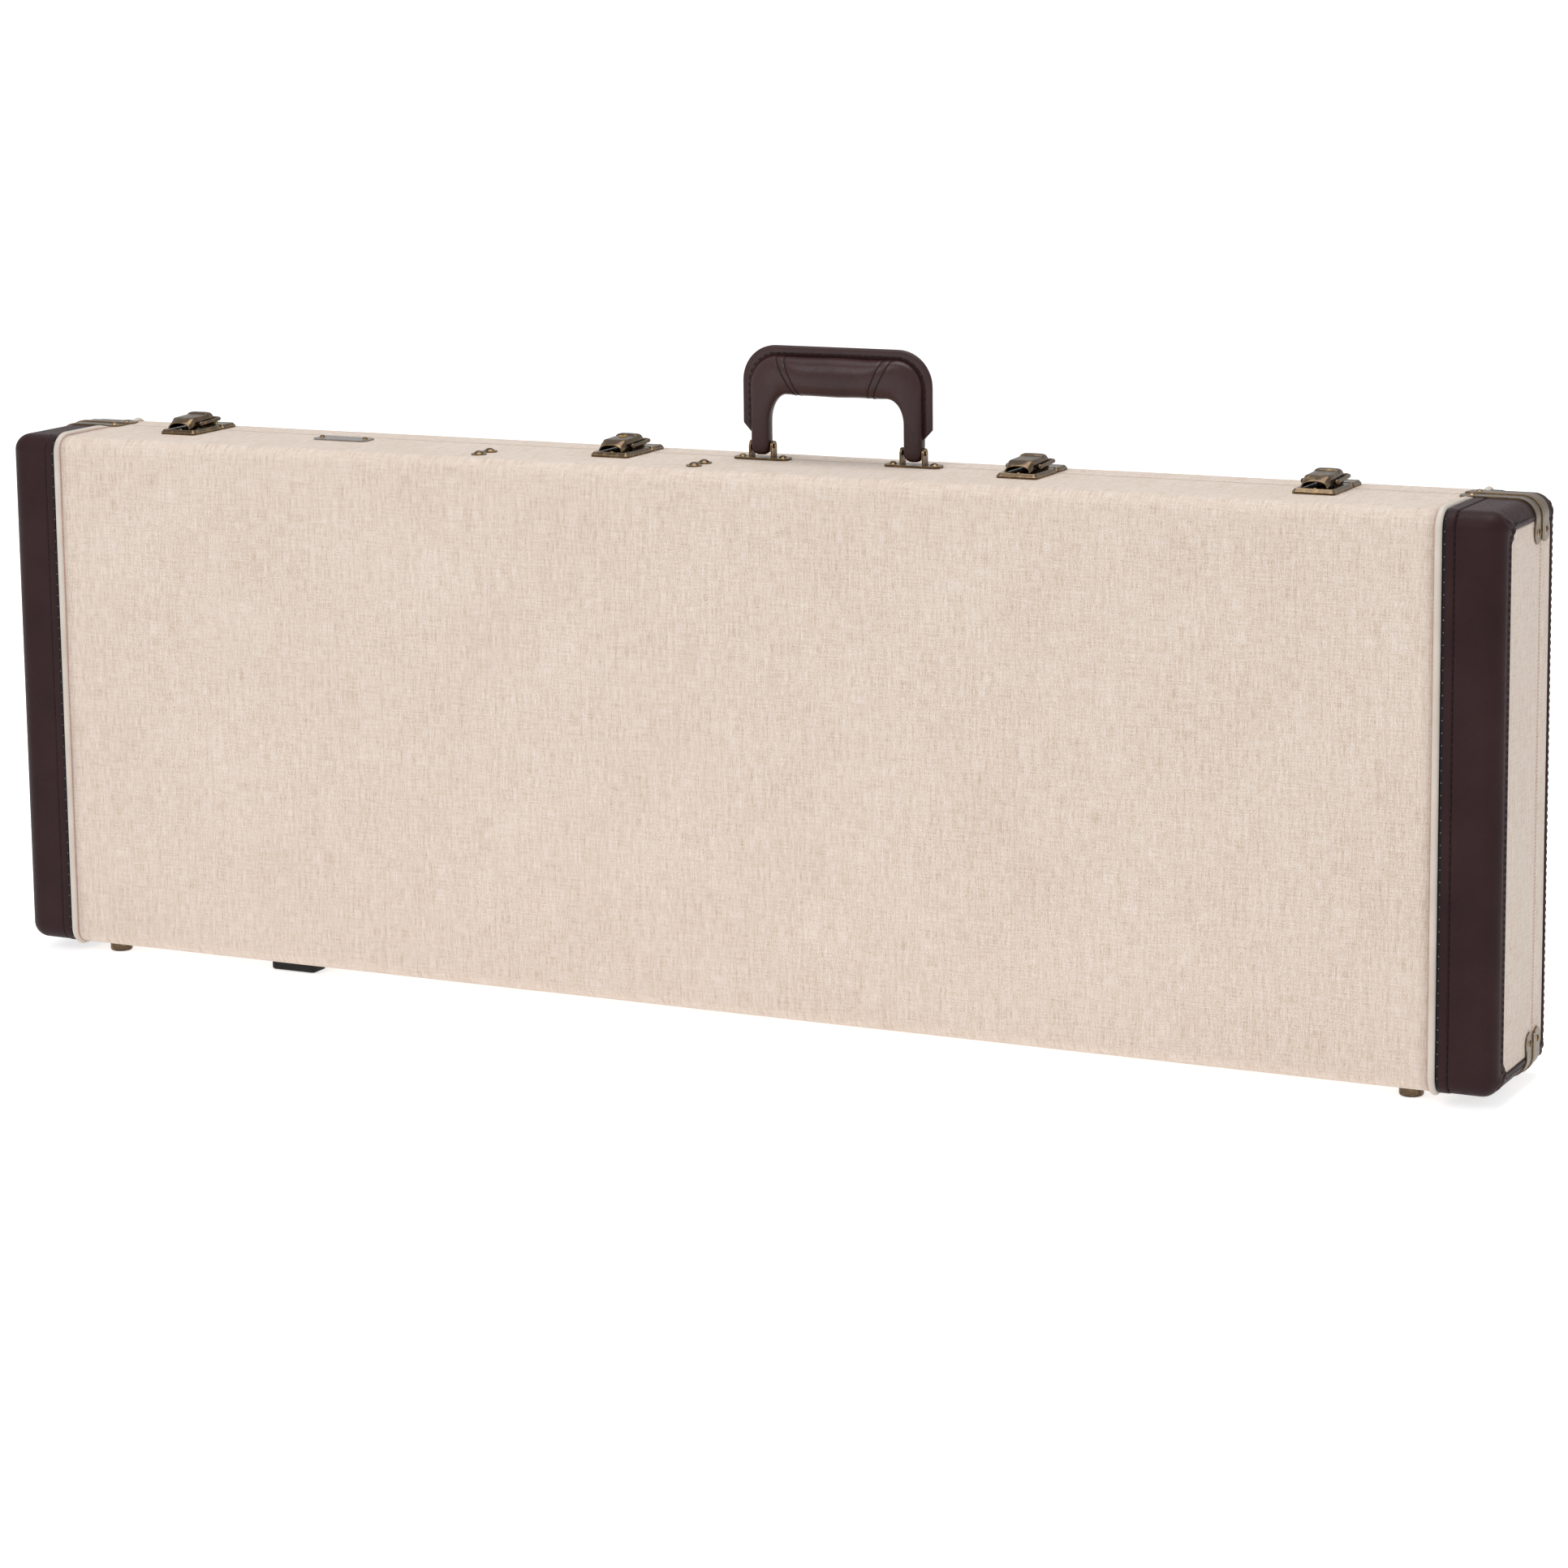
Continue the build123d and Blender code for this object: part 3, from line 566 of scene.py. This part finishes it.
def end_cover(half, side, word):
    """Leatherette cap with hems and folds, and the linen panel inset in it."""
    edges = window_edges(half)
    for part in ("cover", "panel"):
        bm = end_block(half, side)
        drop = []
        for face in bm.faces:
            at = face.calc_center_median()
            on_end = abs(abs(at.x) - END) < 1e-6
            inside = on_end and window_distance(at.y, at.z, edges) < 0
            if inside != (part == "panel"):
                drop.append(face)
        bmesh.ops.delete(bm, geom=drop, context="FACES")
        layer = bm.loops.layers.uv.new("weave")
        for face in bm.faces:
            for loop in face.loops:
                loop[layer].uv = (loop.vert.co.y, loop.vert.co.z)
        for vert in bm.verts:
            place, normal = rounded(vert.co, half)
            if part == "cover":
                place += normal * relief(vert.co, half, edges)
            else:
                depth = -window_distance(vert.co.y, vert.co.z, edges)
                place.x -= side * 0.55 * MM * (1 - 0.6 * smooth_step(0, 9 * MM, depth))
            vert.co = place
        bmesh.ops.recalc_face_normals(bm, faces=bm.faces)
        facing = max(bm.faces, key=lambda f: side * f.calc_center_median().x)
        if facing.normal.x * side < 0:
            bmesh.ops.reverse_faces(bm, faces=bm.faces)
        mesh = bpy.data.meshes.new(f"{half}_{part}_{word}")
        bm.to_mesh(mesh)
        bm.free()
        if part == "cover":
            made = piece(f"{half}_leatherette_end_{word}", mesh, BODY[half], "leatherette",
                         f"{half}_end_cover_{word}", material=LEATHERETTE)
        else:
            made = piece(f"{half}_linen_end_{word}", mesh, BODY[half], "linen",
                         f"{half}_end_panels")
        solid = made.modifiers.new("thickness", "SOLIDIFY")
        solid.thickness = SKIN * 0.9
        solid.offset = -1
        applied(made)


def sewing(half, side, word):
    """Thread on one end: pale painted glints and pink thread beside the piping, dark thread on the fold and window
    hem.
    """
    glint_dots, dark, pink = bmesh.new(), bmesh.new(), bmesh.new()
    clear = 3 * MM
    border = half_path(half, side * (COVER_X + 1.7 * MM), CORNER_R, stop=clear)
    # Painted highlight: the border stitches are pale to stand for glints on dark thread.
    stitched(glint_dots, border, 7.4 * MM, 1.3 * MM, 0.32 * MM)
    fold = half_path(half, side * (FOLD_X - 0.1 * MM), CORNER_R, inset=0.25 * MM, stop=clear)
    stitched(dark, fold, 4.6 * MM, 3.3 * MM, 0.34 * MM)
    low, high = WINDOW[half]
    far, inward = (low.y, 1) if half == "body" else (high.y, -1)
    gap, c = 3.2 * MM, WINDOW_CHAMFER
    corners = [(RIM[half], low.z - gap), (far + inward * c, low.z - gap),
               (far - inward * gap, low.z + c), (far - inward * gap, high.z - c),
               (far + inward * c, high.z + gap), (RIM[half], high.z + gap)]
    normal = Vector((side, 0, 0))
    outline = []
    for (y0, z0), (y1, z1) in zip(corners, corners[1:]):
        count = max(2, round(math.hypot(y1 - y0, z1 - z0) / (2 * MM)))
        for k in range(count):
            y, z = y0 + (y1 - y0) * k / count, z0 + (z1 - z0) * k / count
            place, up = rounded(Vector((side * END, y, z)), half)
            outline.append((place + up * HEM_RISE * 0.8, up))
    stitched(dark, outline, 4.4 * MM, 3.1 * MM, 0.3 * MM)
    gather = half_path(half, side * (LINEN_X + 0.45 * MM), LINEN_R, stop=clear)
    stitched(pink, gather, 2.6 * MM, 2.1 * MM, 0.24 * MM)
    seam_y = RIM[half] + (-1 if half == "body" else 1) * 0.9 * MM
    seam = [(Vector((side * (END - 0.35 * MM), seam_y, z)), normal)
            for z in (low.z + 1 * MM, high.z - 1 * MM)]
    stitched(pink, seam, 2.3 * MM, 1.6 * MM, 0.26 * MM)
    for bm, kind, material, slot in ((glint_dots, "border", PAINTED_GLINT_THREAD, "piping"),
                                     (dark, "hem", DARK_THREAD, "leatherette"),
                                     (pink, "seam", PINK_THREAD, "linen")):
        name = f"{half}_{kind}_stitches_{word}"
        piece(name, mesh_of(name, bm), BODY[half], slot, material=material)


def piping(half, side, word):
    """A half-round bead between linen and leatherette that tapers in under the guards."""
    low, high = LINEN_X + PIPING_SEAM, COVER_X + 0.2 * MM
    middle, half_width = side * (low + high) / 2, (high - low) / 2
    path = half_path(half, middle, CORNER_R, stop=PIPING_END - 0.25 * MM)
    rings = []
    across = Vector((1, 0, 0))
    for index, (point, normal) in enumerate(path):
        edge = min(index, len(path) - 1 - index)
        size = smooth_step(-1, 3, edge)
        ring = []
        for k in range(20):
            a = math.tau * k / 20
            rise = PIPING_PROUD * size if math.sin(a) > 0 else PIPING_SUNK
            ring.append(point + across * (half_width * math.cos(a)) +
                        normal * (rise * math.sin(a)))
        rings.append(ring)
    name = f"{half}_piping_{word}"
    piece(name, lofted(name, rings), BODY[half], "piping", f"{half}_piping")


# ---------------------------------------------------------------- latch levers

# Sections of a lever from its lip to its heel, mm: y, height of the top, squareness
LEVER_SECTIONS = (
    (-12.5, 7.7, 2.1), (-12.2, 8.1, 2.2), (-11.0, 8.7, 2.6), (-9.2, 9.6, 3.4),
    (-7.6, 10.3, 4.8), (-6.8, 10.6, 6.5), (-6.2, 10.7, 7.5), (3.0, 11.0, 8.0),
    (8.6, 11.2, 8.0), (9.4, 11.4, 7.5), (10.0, 12.0, 6.5), (10.6, 12.4, 6.0),
    (11.5, 12.5, 6.0), (14.5, 12.5, 6.0), (16.1, 12.2, 5.5), (17.0, 11.5, 5.0),
    (17.4, 10.6, 5.0),
)
LEVER_FLOOR = 3.6
CHEEK_R = 2.6                  # of the round cheeks about the lever pivot
LEVER_WALL = 1.0


def lever_shell(number):
    """A pressed lever: arched open lip, sloped nose, crest, and a rounded raised heel."""
    node = f"latch_lever_{number}"
    low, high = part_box(node)
    middle, half = (low.x + high.x) / 2 / MM, (high.x - low.x) / 2 / MM
    pivot = next(j["pos_m"] for j in frame["joints"] if j["name"] == f"{node}_pivot")
    cheek_y, cheek_z = pivot[1] / MM, (pivot[2] - TOP) / MM
    rings = []
    for y, top, square in LEVER_SECTIONS:
        reach = max(0.0, y - cheek_y)
        drop = math.sqrt(max(0.0, CHEEK_R ** 2 - reach ** 2))
        floor = LEVER_FLOOR if reach == 0 else cheek_z - drop
        ring = []
        for k in range(33):
            a = math.pi * (1 - k / 32)
            c, s = math.cos(a), math.sin(a)
            x = half * abs(c) ** (2 / square) * math.copysign(1, c)
            z = floor + (top - floor) * abs(s) ** (2 / square)
            ring.append(Vector((middle + x, y, TOP / MM + z)) * MM)
        rings.append(ring)
    bm = bmesh.new()
    grid = [[bm.verts.new(p) for p in ring] for ring in rings]
    for first, second in zip(grid, grid[1:]):
        for k in range(32):
            bm.faces.new((first[k], second[k], second[k + 1], first[k + 1]))
    bm.faces.new(grid[-1])
    made = piece(f"lever_{number}_shell", mesh_of(f"lever_{number}_shell", bm), node,
                 "antique_brass", node)
    middle_face = max(made.data.polygons, key=lambda f: f.center.z)
    solid = made.modifiers.new("wall", "SOLIDIFY")
    solid.thickness = LEVER_WALL * MM
    solid.offset = -1 if middle_face.normal.z > 0 else 1
    applied(made)


# ---------------------------------------------------------------- handle

GRIP_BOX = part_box("handle_grip")
PIVOT_Z = next(j["pos_m"][2] for j in frame["joints"] if j["name"] == "handle_pivot")
HANDLE_X, HANDLE_Y = ((GRIP_BOX[0][i] + GRIP_BOX[1][i]) / 2 for i in (0, 1))
HANDLE_HALF = (GRIP_BOX[1].x - GRIP_BOX[0].x) / 2
HANDLE_TOP = GRIP_BOX[1].z
WELT_W = 6 * MM
WELT_T = 3 * MM
LEG_W = 13 * MM
GRIP_UNDER = TOP + 42 * MM
CORNER_OUT = 23 * MM
GRIP_RUN = 320                 # mm, about the length of the grip along its middle
GRIP_SEAMS = (0.316, 0.338, 0.655, 0.683)  # where seams cross the grip, along its length


def arch(half_width, top, radius, bend_z, foot_z, samples=96):
    """Points up one leg, round the corners and down the other, evenly spread by length."""
    straight = max(0.0, half_width - radius)
    corner = [Vector((-half_width, 0, foot_z))]
    corner += [Vector((-half_width, 0, z)) for z in steps(foot_z, top - bend_z, 3 * MM)[1:]]
    for angle in steps(180, 90, 6):
        a = math.radians(angle)
        corner.append(Vector((-straight + radius * math.cos(a), 0,
                              top - bend_z + bend_z * math.sin(a))))
    dense = corner + [Vector((x, 0, top)) for x in steps(-straight, 0, 3 * MM)[1:]]
    dense += [Vector((-p.x, 0, p.z)) for p in reversed(dense[:-1])]
    return resampled(dense, samples)


def resampled(points, samples):
    """The polyline's points at even steps of its length."""
    lengths = [0.0]
    for a, b in zip(points, points[1:]):
        lengths.append(lengths[-1] + (b - a).length)
    result, index = [], 0
    for k in range(samples + 1):
        target = lengths[-1] * k / samples
        while index < len(points) - 2 and lengths[index + 1] < target:
            index += 1
        span = lengths[index + 1] - lengths[index]
        t = (target - lengths[index]) / span if span > 1e-12 else 0.0
        result.append(points[index].lerp(points[index + 1], t))
    return result


def handle():
    """The padded leather grip with its stitched welt and corner seams."""
    samples = 150
    outer = arch(HANDLE_HALF - WELT_W, HANDLE_TOP - WELT_W, CORNER_OUT - 4 * MM,
                 CORNER_OUT - 4 * MM, PIVOT_Z, samples)
    inner_half = HANDLE_HALF - WELT_W - LEG_W
    inner = arch(inner_half, GRIP_UNDER, 12 * MM, 17 * MM, PIVOT_Z, samples)
    rings, seam_rings = [], []
    seam_at = [round(seam * samples) for seam in GRIP_SEAMS]
    origin = Vector((HANDLE_X, HANDLE_Y, 0))
    for index, (out, inn) in enumerate(zip(outer, inner)):
        t = index / samples
        middle, across = (out + inn) / 2, (out - inn)
        swell = smooth_step(0.22, 0.4, min(t, 1 - t))
        depth = (5.8 + 4.9 * swell) * MM
        width = across.length / 2 * (1 + 0.03 * noise.noise(Vector((t * 9, 0, 4))))
        for seam in GRIP_SEAMS:
            gap = (t - seam) * GRIP_RUN * MM
            depth *= 1 - 0.05 * math.exp(-(gap / (1.0 * MM)) ** 2)
            width *= 1 - 0.035 * math.exp(-(gap / (1.0 * MM)) ** 2)
        middle.z -= 0.5 * MM * swell
        direction = across.normalized()
        power = 0.86 - 0.1 * (1 - swell)
        ring = []
        for k in range(32):
            a = math.tau * k / 32
            c, s = math.cos(a), math.sin(a)
            flat = abs(c) ** power * math.copysign(1, c)
            deep = abs(s) ** power * math.copysign(1, s)
            ring.append(origin + middle + direction * (width * flat) +
                        Vector((0, depth * deep, 0)))
        rings.append(ring)
        if index in seam_at:
            seam_rings.append((ring, direction.cross(Vector((0, 1, 0)))))
    for end, order in ((rings[0], -1), (rings[-1], 1)):
        centre = sum(end, Vector()) / len(end)
        for drop, size in ((2.2, 0.94), (4.2, 0.75), (5.4, 0.42)):
            ring = [centre + (p - centre) * size - Vector((0, 0, drop * MM)) for p in end]
            rings.insert(0, ring) if order < 0 else rings.append(ring)
    grip = piece("handle_padded_grip", lofted("handle_padded_grip", rings), "handle",
                 "handle_leather", "handle_grip")
    handle_welt(samples)
    handle_sewing(seam_rings, samples)


def handle_welt(samples):
    """The flat doubled edge that stands out all round the grip, slanted off at the legs."""
    lip = arch(HANDLE_HALF, HANDLE_TOP, CORNER_OUT, CORNER_OUT, PIVOT_Z + 15 * MM, samples)
    root = arch(HANDLE_HALF - WELT_W - 1.5 * MM, HANDLE_TOP - WELT_W - 1.5 * MM,
                CORNER_OUT - 6 * MM, CORNER_OUT - 6 * MM, PIVOT_Z + 7 * MM, samples)
    origin = Vector((HANDLE_X, HANDLE_Y, 0))
    rings = []
    half, soft = WELT_T / 2, 0.7 * MM
    for out, inn in zip(lip, root):
        direction = (out - inn).normalized()
        rim = out - direction * soft
        ring = []
        for place, y in ((inn, -half), (rim - direction * soft, -half), (rim, -half * 0.92),
                         (out, -half * 0.5), (out, half * 0.5), (rim, half * 0.92),
                         (rim - direction * soft, half), (inn, half)):
            ring.append(origin + place + Vector((0, y, 0)))
        rings.append(ring)
    piece("handle_welt", lofted("handle_welt", rings), "handle", "handle_leather")


def seam_cord(bm, ring, along, radius):
    """A thin cord laid round a ring of points, half sunk into it."""
    centre = sum(ring, Vector()) / len(ring)
    loops = []
    for point in ring:
        out = (point - centre).normalized()
        middle = point + out * (radius * 0.2)
        loops.append([bm.verts.new(middle + out * (radius * math.cos(a)) +
                                   along * (radius * math.sin(a)))
                      for a in (math.tau * k / 6 for k in range(6))])
    for first, second in zip(loops, loops[1:] + loops[:1]):
        for k in range(6):
            n = (k + 1) % 6
            bm.faces.new((first[k], second[k], second[n], first[n]))


def handle_sewing(seams, samples):
    """Dark stitches along the welt on both sides, and a sunken cord in each corner seam."""
    bm = bmesh.new()
    origin = Vector((HANDLE_X, HANDLE_Y, 0))
    for ring, along in seams:
        seam_cord(bm, ring, along, 0.42 * MM)
    line = arch(HANDLE_HALF - WELT_W + 1.3 * MM, HANDLE_TOP - WELT_W + 1.3 * MM,
                CORNER_OUT - 3 * MM, CORNER_OUT - 3 * MM, PIVOT_Z + 13 * MM, samples)
    for side in (-1, 1):
        normal = Vector((0, side, 0))
        path = [(origin + p + normal * (WELT_T / 2), normal) for p in line]
        stitched(bm, path, 4.7 * MM, 2.9 * MM, 0.36 * MM)
    piece("handle_welt_stitches", mesh_of("handle_welt_stitches", bm), "handle",
          "handle_leather", material=DARK_THREAD)


# ---------------------------------------------------------------- plush

def plushed(node, body, name, voxel, swell, cloth, fill):
    """A soft, crowned copy of a CAD pad: remeshed, rounded, and some blown up as cloth."""
    mesh = nodes[node].data.copy()
    made = piece(name, mesh, body, "plush", node)
    remesh = made.modifiers.new("voxels", "REMESH")
    remesh.mode = "VOXEL"
    remesh.voxel_size = voxel * MM
    soften = made.modifiers.new("soften", "SMOOTH")
    soften.factor = 0.5
    soften.iterations = 5
    applied(made)
    if cloth:
        inflate(made)
    pile = made.data
    normals = [v.normal.copy() for v in pile.vertices]
    for vert, normal in zip(pile.vertices, normals):
        lump = 0.35 * noise.noise(vert.co * 45) + 0.2 * noise.noise(vert.co * 160)
        vert.co += normal * ((swell + lump) * MM)
    pile.materials.clear()
    pile.materials.append(PLUSH)
    pile.shade_smooth()


def inflate(made, pressure=4.0, frames=14, cap=5.0):
    """Cloth under pressure, with the travel of each point capped at so many mm."""
    start = [v.co.copy() for v in made.data.vertices]
    cloth = made.modifiers.new("cloth", "CLOTH")
    settings = cloth.settings
    settings.quality = 4
    settings.mass = 0.25
    settings.tension_stiffness = settings.compression_stiffness = 22
    settings.shear_stiffness = 8
    settings.bending_stiffness = 1.2
    settings.use_pressure = True
    settings.uniform_pressure_force = pressure
    settings.effector_weights.gravity = 0
    cloth.point_cache.frame_start, cloth.point_cache.frame_end = 1, frames
    for step in range(1, frames + 1):
        bpy.context.scene.frame_set(step)
    applied(made)
    for vert, origin in zip(made.data.vertices, start):
        travel = vert.co - origin
        if travel.length > cap * MM:
            vert.co = origin + travel.normalized() * cap * MM
    bpy.context.scene.frame_set(1)


# CAD node, body, name, voxel mm, swell mm, blown up as cloth, fill
PADS = (
    ("body_lining", "case_body", "plush_lining", 3.6, 0.0, False, 0.3),
    ("bout_pads", "case_body", "plush_bout_pads", 3.4, 0.5, True, 0.7),
    ("waist_pad_top", "case_body", "plush_waist_pad_top", 3.4, 0.5, True, 0.7),
    ("waist_pad_bottom", "case_body", "plush_waist_pad_bottom", 3.4, 0.5, True, 0.7),
    ("neck_block", "case_body", "plush_neck_block", 3.4, 0.5, True, 0.7),
    ("neck_cradle", "case_body", "plush_neck_cradle", 2.4, 0.4, False, 0.8),
    ("compartment_walls", "case_body", "plush_compartment", 1.8, 0.1, False, 0.4),
    ("compartment_lid", "compartment_lid", "plush_compartment_lid", 1.5, 0.1, False, 0.4),
    ("lid_lining", "lid", "plush_lid_lining", 3.2, 0.2, True, 0.5),
)


# ---------------------------------------------------------------- stage

CAMERA_AT = (1.2605, -2.5050, 0.7226)
AZIMUTH, ELEVATION, ROLL = (math.radians(v) for v in (26.09, 9.852, -0.66))
LENS, SENSOR_W, SHIFT_Y = 102.41, 36.0, -0.0871
FLOOR_HALF = 60.0
# Light given off for all rays, then what the camera's own rays and reflections add
FLOOR_GLOW = (0.34, 0.36, 0.2)
AMBIENT = (0.42, 0.67, 0.28)
# Disc lights: name, place, target, diameter, watts
LIGHTS = (
    ("key", (-1.3, -3.2, 2.6), (-0.1, 0, 0.2), 2.4, 34.0),
    ("top", (0.2, -0.2, 3.4), (0, 0, 0.2), 2.6, 58.0),
    ("side", (3.2, -0.8, 1.8), (0.3, 0, 0.2), 1.8, 4.0),
)


def camera():
    data = bpy.data.cameras.new("camera")
    data.lens, data.sensor_width, data.shift_y = LENS, SENSOR_W, SHIFT_Y
    made = bpy.data.objects.new("camera", data)
    bpy.context.scene.collection.objects.link(made)
    forward = Vector((-math.sin(AZIMUTH) * math.cos(ELEVATION),
                      math.cos(AZIMUTH) * math.cos(ELEVATION), -math.sin(ELEVATION)))
    level = Vector((math.cos(AZIMUTH), math.sin(AZIMUTH), 0))
    upright = level.cross(forward)
    right = level * math.cos(ROLL) + upright * math.sin(ROLL)
    up = right.cross(forward)
    turn = Matrix((right, up, -forward)).transposed()
    made.matrix_world = Matrix.Translation(CAMERA_AT) @ turn.to_4x4()
    bpy.context.scene.camera = made


def area_light(name, place, target, size, power):
    data = bpy.data.lights.new(name, "AREA")
    data.shape, data.size, data.energy = "DISK", size, power
    made = bpy.data.objects.new(name, data)
    bpy.context.scene.collection.objects.link(made)
    made.location = place
    made.rotation_euler = (Vector(target) - Vector(place)).to_track_quat("-Z", "Y").to_euler()


def seen_strength(tree, base, camera_extra, mirror_extra):
    """A light strength that is raised for the camera's own rays and for reflections."""
    path = tree.nodes.new("ShaderNodeLightPath")
    total = base
    for output, extra in (("Is Camera Ray", camera_extra), ("Is Glossy Ray", mirror_extra)):
        add = tree.nodes.new("ShaderNodeMath")
        add.operation = "MULTIPLY_ADD"
        add.inputs[1].default_value = extra
        tree.links.new(path.outputs[output], add.inputs[0])
        if total is base:
            add.inputs[2].default_value = base
        else:
            tree.links.new(total, add.inputs[2])
        total = add.outputs[0]
    return total


def studio():
    """A white floor that glows faintly, under soft light from above and in front."""
    bm = bmesh.new()
    bmesh.ops.create_grid(bm, x_segments=2, y_segments=2, size=FLOOR_HALF)
    floor = bpy.data.objects.new("floor", mesh_of("floor", bm))
    bpy.context.scene.collection.objects.link(floor)
    s = Shader("floor", Roughness=0.9, Specular_IOR_Level=0.1,
               Emission_Color=(1.0, 1.0, 1.0, 1.0))
    s.set("Emission Strength", seen_strength(s.tree, *FLOOR_GLOW))
    s.set("Base Color", s.mix(s.noise(s.coordinates(), 3.0), srgb(246, 246, 246),
                              srgb(250, 250, 250)))
    floor.data.materials.append(s.material)
    world = bpy.data.worlds.new("studio")
    bpy.context.scene.world = world
    world.use_nodes = True
    tree = world.node_tree
    background = tree.nodes["Background"]
    background.inputs[0].default_value = (1.0, 1.0, 1.0, 1.0)
    tree.links.new(seen_strength(tree, *AMBIENT), background.inputs[1])
    for light in LIGHTS:
        area_light(*light)
    bpy.context.scene.view_settings.view_transform = "Standard"


# ---------------------------------------------------------------- the whole case

camera()
studio()
slot_of = {row["node"]: row["material_slot"] for row in frame["record"]["subparts"]}
for node_name, obj in nodes.items():
    obj.data.materials.clear()
    guard = node_name.endswith("_edge_guards")
    obj.data.materials.append(GUARD if guard else SLOT_MATERIAL[slot_of[node_name]])
for half_name in ("body", "lid"):
    linen_jacket(half_name)
    for end_side, end_word in ((-1, "left"), (1, "right")):
        end_cover(half_name, end_side, end_word)
        sewing(half_name, end_side, end_word)
        piping(half_name, end_side, end_word)
handle()
for latch_number in (1, 2, 3, 4):
    lever_shell(latch_number)
for pad in PADS:
    plushed(*pad)
